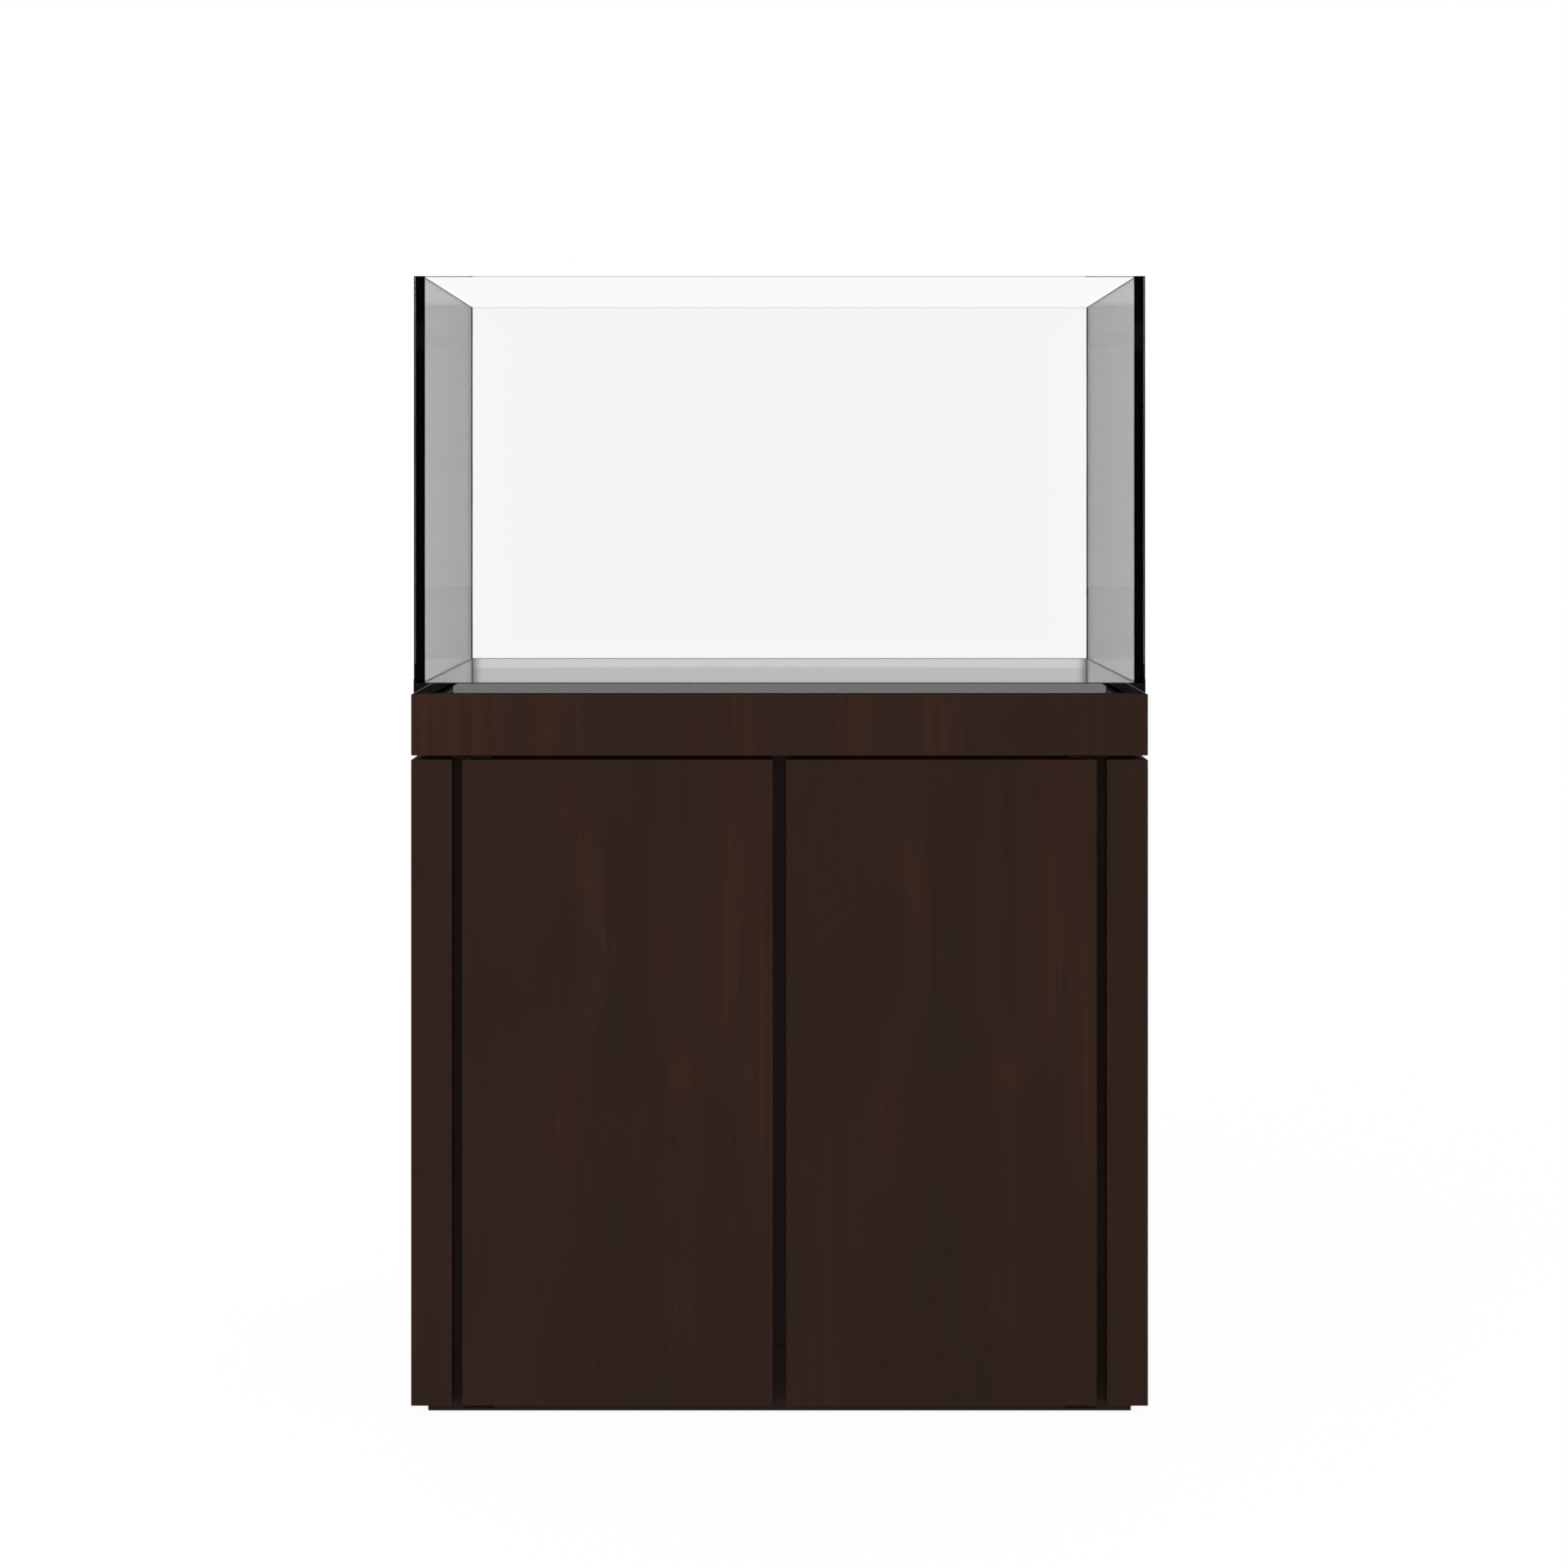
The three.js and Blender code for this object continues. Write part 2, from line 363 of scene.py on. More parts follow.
# A streak of the figure runs down the sheet. Its path and strength are drawn against the
# distance down the board, each from 0 to 1; path and width are shares of the width.
DOOR_LENGTH = 0.79
DOOR_WIDTH = 0.38
DOOR_STREAKS = (
    # the flame left of the middle, which leans left below half height
    {
        "path": ((0, 0.36), (0.1, 0.385), (0.22, 0.42), (0.33, 0.432), (0.4, 0.395),
                 (0.48, 0.345), (0.56, 0.32), (0.66, 0.30), (1, 0.27)),
        "strength": ((0, 0.2), (0.08, 0.5), (0.2, 0.7), (0.36, 0.7), (0.46, 0.5),
                     (0.56, 0.45), (0.64, 0.2), (0.72, 0.05), (1, 0.0)),
        "width": 0.042,
    },
    # its left shoulder near the top
    {
        "path": ((0, 0.27), (0.08, 0.29), (0.16, 0.33), (0.2, 0.37), (1, 0.37)),
        "strength": ((0, 0.15), (0.08, 0.35), (0.15, 0.4), (0.2, 0.2), (0.24, 0), (1, 0)),
        "width": 0.06,
    },
    # the group on the right: inner edge, middle and outer edge
    {
        "path": ((0, 0.66), (0.2, 0.655), (0.4, 0.67), (0.47, 0.70), (0.52, 0.73), (1, 0.72)),
        "strength": ((0, 0.25), (0.12, 0.35), (0.3, 0.4), (0.42, 0.45), (0.5, 0.4), (0.55, 0.1),
                     (0.62, 0.12), (0.7, 0.1), (1, 0.0)),
        "width": 0.04,
    },
    {
        "path": ((0, 0.82), (0.2, 0.815), (0.35, 0.84), (0.44, 0.80), (0.5, 0.745), (1, 0.80)),
        "strength": ((0, 0.35), (0.12, 0.4), (0.3, 0.55), (0.42, 0.55), (0.5, 0.35), (0.56, 0.1),
                     (1, 0.05)),
        "width": 0.055,
    },
    {
        "path": ((0, 0.94), (0.2, 0.95), (0.4, 0.955), (0.6, 0.96), (1, 0.95)),
        "strength": ((0, 0.35), (0.15, 0.4), (0.32, 0.7), (0.45, 0.75), (0.6, 0.5), (0.7, 0.2),
                     (1, 0.05)),
        "width": 0.07,
    },
    # a small flare low on the right
    {
        "path": ((0, 0.69), (0.8, 0.695), (0.9, 0.71), (1, 0.72)),
        "strength": ((0, 0), (0.6, 0.0), (0.68, 0.15), (0.74, 0.05), (0.79, 0.3), (0.83, 0.55),
                     (0.88, 0.3), (0.94, 0.12), (1, 0.1)),
        "width": 0.034,
    },
    # low on the left
    {
        "path": ((0, 0.16), (0.6, 0.14), (0.8, 0.12), (1, 0.10)),
        "strength": ((0, 0), (0.5, 0.0), (0.66, 0.2), (0.85, 0.3), (1, 0.4)),
        "width": 0.08,
    },
)


def door_figure(graph, across, down):
    """Strength of the glow over a door, drawn streak by streak."""
    along = down / DOOR_LENGTH
    share = across / DOOR_WIDTH
    total = 0.0
    for streak in DOOR_STREAKS:
        path = graph.curve(along, streak["path"])
        strength = graph.curve(along, streak["strength"])
        away = abs(share - path) / streak["width"]
        total = strength * graph.ramp(away, 0.0, 2.2, 1.0, 0.0) + total
    return total


BAND_LENGTH = 0.901
BAND_GLOW = ((0, 0.95), (0.06, 0.9), (0.068, 0.3), (0.09, 0.75), (0.14, 0.35), (0.18, 0.62),
             (0.26, 0.3), (0.34, 0.28), (0.42, 0.3), (0.45, 0.58), (0.5, 0.22), (0.575, 0.3),
             (0.6, 0.75), (0.63, 0.45), (0.68, 0.6), (0.72, 0.85), (0.745, 0.7), (0.76, 0.22),
             (0.82, 0.12), (0.92, 0.1), (1, 0.0))


def band_figure(graph, across, down):
    """Glow along the band under the tank, strongest at its left end and right of the middle."""
    return graph.curve(across / BAND_LENGTH, BAND_GLOW)


def plain_figure(graph, across, down):
    """Broad, faint streaks for a board with no strong figure."""
    broad = graph.noise(graph.join(across * 16.0, down * 1.1), detail=1.0)
    return graph.ramp(broad, 0.5, 0.75, 0.0, 0.45)


def veneer(name, figure):
    """Stained wood in satin lacquer. The grain runs down the sheet that each board is cut from."""
    wood = bpy.context.scene.aquarium_wood

    def build(graph):
        sheet = graph.node("ShaderNodeUVMap", {"uv_map": SHEET})
        across, down, _ = graph.split(sheet)
        wander = graph.noise(graph.join(across * 9.0, down * 3.2), detail=2.0) - 0.5
        fray = graph.noise(graph.join(across * 70.0, down * 5.0), detail=2.0) - 0.5
        strayed = across + wander * 0.03 + fray * 0.014
        glow = figure(graph, strayed, down)
        streaks = graph.noise(graph.join((across + wander * 0.02) * 110.0, down * 3.0), detail=3.0)
        fibres = graph.noise(graph.join(strayed * 620.0, down * 16.0), detail=2.0)
        speckle = graph.noise(graph.join(across * 900.0, down * 900.0), detail=1.0)
        clouds = graph.noise(graph.join(across * 7.0 + 4.0, down * 2.6), detail=2.0)
        lit = graph.ramp(streaks, 0.3, 0.7)
        glowing = glow * (lit * 0.6 + 0.3) + (streaks - 0.5) * 0.4 + (speckle - 0.5) * 0.5
        shaded = graph.ramp(clouds, 0.42, 0.66) * 0.75 + (fibres - 0.5) * 0.5
        ground = graph.mix(shaded, opaque(wood.stain), opaque(wood.shade))
        colour = graph.mix(glowing, ground, opaque(wood.glow))
        pores = graph.ramp(fibres, 0.36, 0.30)
        pored = graph.mix(pores * 0.35, colour, opaque([c * 0.6 for c in wood.shade]))
        roughness = wood.lacquer_roughness + (streaks - 0.5) * 0.1 + (clouds - 0.5) * 0.08
        relief = fibres * 0.6 - pores * 0.8 + speckle * 0.12
        return {
            "Base Color": pored,
            "Roughness": roughness,
            "Normal": graph.bump(relief, 0.18, 0.0002),
            "Specular IOR Level": 0.2,
        }

    return make_material(name, build)


def grained_board():
    """Dark board with a fine printed grain, for the carcass."""
    wood = bpy.context.scene.aquarium_wood

    def build(graph):
        x, y, z = graph.split(graph.object_place())
        grain = graph.noise(graph.join(x * 120.0, y * 120.0, z * 6.0), detail=2.0)
        clouds = graph.noise(graph.join(x * 5.0, y * 5.0, z * 2.0), detail=1.0)
        speckle = graph.noise(graph.join(x * 700.0, y * 700.0, z * 700.0), detail=0.0)
        shaded = graph.ramp(grain, 0.3, 0.7) * 0.6 + (speckle - 0.5) * 0.4
        ground = graph.mix(shaded, opaque(wood.stain), opaque(wood.shade))
        return {
            "Base Color": graph.mix((clouds - 0.4) * 0.8, ground, opaque(wood.glow)),
            "Roughness": 0.56 + (grain - 0.5) * 0.12,
            "Normal": graph.bump(grain * 0.4 + speckle * 0.4, 0.12, 0.0002),
            "Specular IOR Level": 0.35,
        }

    return make_material("grained_board", build)


def glass(name, tint):
    """Glass with a faint waviness. Its tint is what is left of the light after one pane."""

    def build(graph):
        waviness = graph.noise(graph.object_place(), 2.2, detail=1.0)
        return {
            "Base Color": (tint, tint, tint, 1.0),
            "Roughness": 0.0,
            "IOR": GLASS_IOR,
            "Transmission Weight": 1.0,
            "Normal": graph.bump(waviness, 0.02, 0.0004),
        }

    return make_material(name, build)


def tooled_silicone():
    tank = bpy.context.scene.aquarium_tank

    def build(graph):
        place = graph.object_place()
        tooling = graph.noise(place, 160.0, detail=2.0)
        dust = graph.noise(place, 900.0, detail=1.0)
        dusty = opaque([c * 2.2 for c in tank.silicone])
        return {
            "Base Color": graph.mix(graph.ramp(dust, 0.5, 0.8), opaque(tank.silicone), dusty),
            "Roughness": 0.5 + (tooling - 0.5) * 0.2,
            "Normal": graph.bump(tooling, 0.2, 0.0004),
            "Specular IOR Level": 0.08,
        }

    return make_material("tooled_silicone", build)


# Bronze paint on the brackets with random worn patches, partly painted shade: its dark colour stands
# in for the shade of the gaps above and below the doors
def bronze_paint():
    hardware = bpy.context.scene.aquarium_hardware

    def build(graph):
        place = graph.object_place()
        peel = graph.noise(place, 700.0, detail=1.0)
        rubbed = graph.noise(place, 60.0, detail=3.0)
        worn = opaque([c * 1.9 for c in hardware.bracket])
        return {
            "Base Color": graph.mix(graph.ramp(rubbed, 0.52, 0.72), opaque(hardware.bracket), worn),
            "Roughness": 0.5 + (rubbed - 0.5) * 0.2,
            "Specular IOR Level": 0.25,
            "Normal": graph.bump(peel, 0.12, 0.0002),
        }

    return make_material("bronze_paint", build)


def turned_steel():
    def build(graph):
        x, y, z = graph.split(graph.object_place())
        rings = graph.noise(graph.join(x * 200.0, y * 200.0, z * 2400.0), detail=2.0)
        stain = graph.noise(graph.object_place(), 90.0, detail=2.0)
        dull = (0.36, 0.36, 0.37, 1.0)
        return {
            "Base Color": graph.mix(graph.ramp(stain, 0.45, 0.7), (0.56, 0.56, 0.57, 1.0), dull),
            "Roughness": 0.3 + (rings - 0.5) * 0.16,
            "Metallic": 1.0,
            "Normal": graph.bump(rings, 0.1, 0.0001),
        }

    return make_material("turned_steel", build)


def black_nylon():
    def build(graph):
        place = graph.object_place()
        grain = graph.noise(place, 1400.0, detail=1.0)
        rubbed = graph.noise(place, 120.0, detail=2.0)
        pale = (0.018, 0.018, 0.018, 1.0)
        return {
            "Base Color": graph.mix(graph.ramp(rubbed, 0.5, 0.75), (0.009, 0.009, 0.009, 1.0), pale),
            "Roughness": 0.48 + (rubbed - 0.5) * 0.2,
            "Normal": graph.bump(grain, 0.15, 0.0001),
        }

    return make_material("black_nylon", build)


def brown_felt():
    def build(graph):
        place = graph.object_place()
        fibres = graph.noise(place, 1800.0, detail=3.0, roughness=0.7)
        clumps = graph.noise(place, 420.0, detail=2.0)
        return {
            "Base Color": graph.mix(fibres * 0.6 + clumps * 0.4, (0.012, 0.009, 0.008, 1.0),
                                    (0.034, 0.026, 0.022, 1.0)),
            "Roughness": 0.92 + (clumps - 0.5) * 0.1,
            "Normal": graph.bump(fibres, 0.6, 0.0004),
        }

    return make_material("brown_felt", build)


# ---------------------------------------------------------------- mesh helpers


def new_piece(name, mesh, material, body, slot, *nodes):
    """Links a mesh as a finished piece that rides on a body and stands for CAD nodes."""
    piece = bpy.data.objects.new(name, mesh)
    bpy.context.scene.collection.objects.link(piece)
    mesh.materials.clear()
    mesh.materials.append(material)
    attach(piece, body)
    if nodes:
        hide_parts(*nodes)
    return piece


def dress_node(node, material):
    """Gives a CAD node that stays in view its finish."""
    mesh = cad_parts[node].data
    mesh.materials.clear()
    mesh.materials.append(material)


def node_body(node):
    """A copy of a CAD node as one merged body, its flat faces whole."""
    body = bmesh.new()
    body.from_mesh(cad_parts[node].data)
    bmesh.ops.remove_doubles(body, verts=body.verts, dist=WELD)
    bmesh.ops.dissolve_limit(body, angle_limit=FLAT_TO, verts=body.verts,
                             edges=body.edges)
    for face in body.faces:
        face.smooth = False
    return body


def soften(body, width, segments=2, above=-1.0):
    """Rounds the sharp edges of a body, but for those below a height."""
    edges = [
        edge for edge in body.edges
        if edge.calc_face_angle(0) > SHARP_FROM and max(v.co.z for v in edge.verts) > above
    ]
    bmesh.ops.bevel(body, geom=edges, offset=width, offset_type="OFFSET", segments=segments,
                    profile=0.5, affect="EDGES", clamp_overlap=True)


def finish_mesh(body, name):
    bmesh.ops.recalc_face_normals(body, faces=body.faces)
    mesh = bpy.data.meshes.new(name)
    body.to_mesh(mesh)
    body.free()
    return mesh


def lay_on_sheet(body, node, grain, at):
    """Cuts a board from the veneer sheet: each face takes its place across and down the grain."""
    low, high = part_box(node)
    layer = body.loops.layers.uv.new(SHEET)
    for face in body.faces:
        facing = max(range(3), key=lambda axis: abs(face.normal[axis]))
        other = [axis for axis in range(3) if axis not in (facing, grain)]
        across = other[0]
        down = grain if facing != grain else other[1]
        for loop in face.loops:
            place = loop.vert.co
            loop[layer].uv = (
                at[0] + place[across] - low[across],
                at[1] + high[down] - place[down],
            )


def board(node, material, slot, grain=Z, at=(0.0, 0.0), body=ROOT):
    """A finished board in place of a CAD board."""
    wood = bpy.context.scene.aquarium_wood
    cut = node_body(node)
    soften(cut, wood.arris)
    bmesh.ops.recalc_face_normals(cut, faces=cut.faces)
    lay_on_sheet(cut, node, grain, at)
    mesh = finish_mesh(cut, node + "_board")
    return new_piece(node + "_board", mesh, material, body, slot, node)


def rings_mesh(name, rings, smooth_limit=35):
    """A closed mesh through rings of points, with a flat cap at each end."""
    body = bmesh.new()
    rows = [[body.verts.new(point) for point in ring] for ring in rings]
    count = len(rows[0])
    for lower, upper in zip(rows, rows[1:]):
        for i in range(count):
            j = (i + 1) % count
            body.faces.new((lower[i], lower[j], upper[j], upper[i]))
    body.faces.new(list(reversed(rows[0])))
    body.faces.new(rows[-1])
    for face in body.faces:
        face.smooth = True
    mesh = finish_mesh(body, name)
    mesh.set_sharp_from_angle(angle=math.radians(smooth_limit))
    return mesh


def disc_mesh(node, name, crown, sides=56):
    """A round disc in place of a CAD disc against a vertical face, its front edge rounded.

    crown is how much of its thickness the rounding takes."""
    low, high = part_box(node)
    centre = (low + high) / 2
    radius = (high.x - low.x) / 2
    thick = high.y - low.y
    steps = 5
    profile = [(radius, high.y)]
    for step in range(steps + 1):
        turn = step / steps * math.pi / 2
        profile.append((
            radius - crown * thick * (1 - math.cos(turn)),
            low.y + crown * thick * (1 - math.sin(turn)),
        ))
    rings = []
    for r, y in profile:
        turns = [2 * math.pi * i / sides for i in range(sides)]
        rings.append([(centre.x + r * math.cos(t), y, centre.z + r * math.sin(t)) for t in turns])
    return rings_mesh(name, rings)


# ---------------------------------------------------------------- tank


class AQUARIUM_OT_panes(bpy.types.Operator):
    """Finish the five glass panes with polished arrises"""

    bl_idname = "aquarium.panes"
    bl_label = "Glass Panes"

    def execute(self, context):
        clear = glass("clear_pane", CLEAR_TINT)
        dark = glass("pane_edge", context.scene.aquarium_tank.edge_tint)
        for name in ("floor", "front", "back", "left", "right"):
            node = name + "_pane"
            low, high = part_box(node)
            thin = min(range(3), key=lambda axis: high[axis] - low[axis])
            pane = node_body(node)
            if thin != Z:
                sink_foot(pane, low.z, FOOT_SUNK[name])
            arris = context.scene.aquarium_tank.arris * (1.0 if thin != Z else 0.5)
            soften(pane, arris, above=low.z + 1 * MM)
            mesh = finish_mesh(pane, node + "_glass")
            new_piece(mesh.name, mesh, clear, ROOT, "clear_glass", node)
            mesh.materials.append(dark)
            edgeways = [axis for axis in range(3) if axis != thin]
            for face in mesh.polygons:
                flat_edge = max(abs(face.normal[axis]) for axis in edgeways) > FACE_ON
                face.material_index = 1 if flat_edge else 0
        return {"FINISHED"}


def sink_foot(pane, foot, drop):
    """Lets a wall pane down into its bead, to leave the thin line of silicone that shows."""
    for corner in pane.verts:
        if corner.co.z < foot + 1 * MM:
            corner.co.z = foot - drop


def wobble(distance, phase):
    """A smooth, uneven wave between 0 and 1."""
    wave = (
        0.55 * math.sin(distance * 23.0 + phase)
        + 0.3 * math.sin(distance * 57.0 + 2.1 * phase)
        + 0.15 * math.sin(distance * 131.0 + 3.7 * phase)
    )
    return (1 + wave) / 2


def swept_bead(name, start, end, lengthwise, section):
    """A bead run along an axis; section(distance) gives its outline in the other two axes."""
    others = [axis for axis in range(3) if axis != lengthwise]
    rings = []
    for row in range(BEAD_ROWS + 1):
        along = start + (end - start) * row / BEAD_ROWS
        ring = []
        for first, second in section(along):
            point = [0.0, 0.0, 0.0]
            point[lengthwise] = along
            point[others[0]] = first
            point[others[1]] = second
            ring.append(tuple(point))
        rings.append(ring)
    return rings_mesh(name, rings, smooth_limit=40)


def seam_mesh(end, side, phase):
    """The bead in an upright corner, bonded to both panes, with a small hollow fillet inside."""
    stray = bpy.context.scene.aquarium_tank.wobble
    sheet_low, sheet_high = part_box(end + "_pane")
    wall_low, wall_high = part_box(side + "_pane")
    in_x = 1 if side == "left" else -1
    in_y = 1 if end == "front" else -1
    outer = wall_low.x if side == "left" else wall_high.x
    inner = wall_high.x if side == "left" else wall_low.x
    sheet = sheet_high.y if end == "front" else sheet_low.y
    wall = wall_low.y if end == "front" else wall_high.y
    wall_bond = wall + in_y * BOND
    sheet_bond = sheet - in_y * BOND
    heel = sheet + in_y * (abs(wall - sheet) + FILLET)
    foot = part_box("floor_pane")[1].z - BOND

    def section(z):
        edge = outer + in_x * (SET_BACK + stray * wobble(z, phase))
        toe = inner + in_x * (FILLET - stray * wobble(z, phase + 1.7))
        points = [(edge, sheet_bond), (toe, sheet_bond)]
        for step in range(FILLET_STEPS + 1):
            turn = step / FILLET_STEPS * math.pi / 2
            points.append((
                toe + (inner - toe) * math.sin(turn),
                heel + (sheet - heel) * math.cos(turn),
            ))
        points += [(inner - in_x * BOND, heel), (inner - in_x * BOND, wall_bond), (edge, wall_bond)]
        return points

    top = wall_high.z - BELOW_RIM
    return swept_bead(f"{end}_{side}_seam_bead", foot, top, Z, section)


def floor_bead_mesh(edge, phase):
    """The thin bead between a wall and the floor pane. On the sides it also laps the edge of the
    floor pane outside."""
    stray = bpy.context.scene.aquarium_tank.wobble
    low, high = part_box(edge + "_pane")
    floor_low, floor_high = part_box("floor_pane")
    lengthwise = X if edge in ("front", "back") else Y
    sideways = 1 - lengthwise
    outside = low[sideways] if edge in ("front", "left") else high[sideways]
    inward = 1 if edge in ("front", "left") else -1
    thick = high[sideways] - low[sideways]
    under = floor_high.z - BOND
    over = low.z - FOOT_SUNK[edge] + BOND
    laps = edge in SIDES
    toe_share = 0.5 if edge == "front" else 0.3

    def section(along):
        back = SET_BACK + stray * wobble(along, phase)
        toe = outside + inward * (thick + FILLET * toe_share - stray * wobble(along, phase + 2.3))
        if not laps:
            near = outside + inward * back
            return [(near, under), (toe, under), (toe, over), (near, over)]
        skin = outside - inward * LAP
        bonded = outside + inward * BOND
        nearness = max(0.0, 1 - (along - start) / CORNER_RUN)
        crest = over + LAP_RISE + CORNER_RISE * nearness + stray * wobble(along, phase)
        return [
            (skin, floor_low.z + LAP), (bonded, floor_low.z + LAP), (bonded, under), (toe, under),
            (toe, over), (bonded, over), (bonded, crest), (skin, crest - 0.5 * LAP_RISE),
        ]

    inset = LAP_END if laps else SET_BACK
    start = (floor_low if laps else low)[lengthwise] + inset
    end = (floor_high if laps else high)[lengthwise] - inset
    return swept_bead(edge + "_floor_bead_line", start, end, lengthwise, section)


class AQUARIUM_OT_silicone(bpy.types.Operator):
    """Lay the black silicone seams and floor beads"""

    bl_idname = "aquarium.silicone"
    bl_label = "Silicone"

    def execute(self, context):
        black = tooled_silicone()
        phase = 0.4
        for end in ("front", "back"):
            for side in SIDES:
                mesh = seam_mesh(end, side, phase)
                new_piece(mesh.name, mesh, black, ROOT, "black_silicone", f"{end}_{side}_seam")
                phase += 0.9
        for edge in ("front", "back", "left", "right"):
            mesh = floor_bead_mesh(edge, phase)
            new_piece(mesh.name, mesh, black, ROOT, "black_silicone", edge + "_floor_bead")
            phase += 0.9
        return {"FINISHED"}


# ---------------------------------------------------------------- stand


class AQUARIUM_OT_band(bpy.types.Operator):
    """Finish the top board and the mitred band round it"""

    bl_idname = "aquarium.band"
    bl_label = "Top and Band"

    def execute(self, context):
        plain = veneer("plain_veneer", plain_figure)
        board("top_board", plain, "dark_wood", grain=X, at=(2.0, 0.0))
        board("front_band", veneer("band_veneer", band_figure), "dark_wood")
        board("back_band", plain, "dark_wood", at=(4.0, 1.0))
        board("left_band", plain, "dark_wood", at=(5.0, 1.0))
        board("right_band", plain, "dark_wood", at=(6.0, 1.0))
        return {"FINISHED"}


class AQUARIUM_OT_cladding(bpy.types.Operator):
    """Finish the side panels and the trim stiles"""

    bl_idname = "aquarium.cladding"
    bl_label = "Side Panels and Stiles"

    def execute(self, context):
        plain = veneer("plain_veneer", plain_figure)
        for place, side in enumerate(SIDES):
            board(side + "_side_panel", plain, "dark_wood", at=(8.0 + 1.3 * place, 0.2))
            board(side + "_trim_stile", plain, "dark_wood", at=(12.0 + 0.4 * place, 0.1))
        return {"FINISHED"}


class AQUARIUM_OT_doors(bpy.types.Operator):
    """Finish the two doors, cut to show the same figure"""

    bl_idname = "aquarium.doors"
    bl_label = "Doors"

    def execute(self, context):
        flame = veneer("door_veneer", door_figure)
        for side in SIDES:
            board(side + "_door", flame, "dark_wood", body=LEAF[side])
        return {"FINISHED"}


class AQUARIUM_OT_carcass(bpy.types.Operator):
    """Finish the boards of the carcass"""

    bl_idname = "aquarium.carcass"
    bl_label = "Carcass"

    def execute(self, context):
        nodes = ["left_wall", "right_wall", "floor_board", "back_panel", "back_rail",
                 "bottom_rail", "top_rail", "left_frame_stile", "right_frame_stile", "mullion"]
        for node in nodes:
            board(node, grained_board(), "carcass_board")
        return {"FINISHED"}


# ---------------------------------------------------------------- hardware


class AQUARIUM_OT_hinges(bpy.types.Operator):
    """Finish the pivot brackets, their pins and their bushes"""

    bl_idname = "aquarium.hinges"
    bl_label = "Pivot Hinges"

    def execute(self, context):
        for side in SIDES:
            for level in ("lower", "upper"):
                name = f"{side}_{level}"
                plate = node_body(name + "_bracket")
                soften(plate, BRACKET_ARRIS)
                mesh = finish_mesh(plate, name + "_bracket_plate")
                new_piece(name + "_bracket_plate", mesh, bronze_paint(), ROOT,
                          "bronze_bracket", name + "_bracket")
                dress_node(name + "_pin", turned_steel())
                dress_node(name + "_bush", black_nylon())
        return {"FINISHED"}


class AQUARIUM_OT_catches(bpy.types.Operator):
    """Finish the magnets, strike plates and felt bumpers"""

    bl_idname = "aquarium.catches"
    bl_label = "Catches"

    def execute(self, context):
        for side in SIDES:
            magnet = disc_mesh(side + "_magnet", side + "_magnet_case", 0.4)
            new_piece(side + "_magnet_case", magnet, black_nylon(), ROOT, "magnet_case",
                      side + "_magnet")
            dress_node(side + "_strike_plate", turned_steel())
            for level in ("upper", "lower"):
                node = f"{side}_{level}_bumper"
                pad = disc_mesh(node, node + "_pad", 0.3)
                new_piece(node + "_pad", pad, brown_felt(), LEAF[side], "felt", node)
        return {"FINISHED"}


def cross_reach(turn, long, wide):
    """How far a cross-shaped recess reaches from its centre in one direction."""
    run = max(abs(math.cos(turn)), 1e-6)
    rise = max(abs(math.sin(turn)), 1e-6)
    return max(min(long / run, wide / rise), min(wide / run, long / rise))


def screw_head():
    """A crowned screw head of radius 1 with a cross recess, standing on Z = 0."""
    sides = 40
    rim = ((1.0, 0.0), (1.0, 0.12), (0.93, 0.24), (0.75, 0.37))
    rings = []
    turns = [2 * math.pi * i / sides for i in range(sides)]
    for radius, height in rim:
        rings.append([(radius * math.cos(t), radius * math.sin(t), height) for t in turns])
    for scale, height in ((1.0, 0.46), (0.72, 0.12)):
        ring = []
        for t in turns:
            reach = scale * cross_reach(t, 0.52, 0.13)
            ring.append((reach * math.cos(t), reach * math.sin(t), height))
        rings.append(ring)
    mesh = rings_mesh("screw_head_pattern", rings, smooth_limit=30)
    return bpy.data.objects.new("screw_head_pattern", mesh)


class NodeTree:
    """A Geometry Nodes tree under construction."""

    def __init__(self, name):
        self.tree = bpy.data.node_groups.new(name, "GeometryNodeTree")
        self.tree.interface.new_socket("Geometry", in_out="OUTPUT", socket_type="NodeSocketGeometry")
        self.start = self.tree.nodes.new("NodeGroupInput")
        self.end = self.tree.nodes.new("NodeGroupOutput")

    def input(self, name, kind, default=None):
        made = self.tree.interface.new_socket(name, in_out="INPUT", socket_type=kind)
        if default is not None:
            made.default_value = default
        return made.identifier

    def add(self, kind, settings=None, inputs=None, output=0):
        made = self.tree.nodes.new(kind)
        for name, value in (settings or {}).items():
            setattr(made, name, value)
        for key, value in (inputs or {}).items():
            if isinstance(value, bpy.types.NodeSocket):
                self.tree.links.new(value, made.inputs[key])
            else:
                made.inputs[key].default_value = value
        return made.outputs[output]


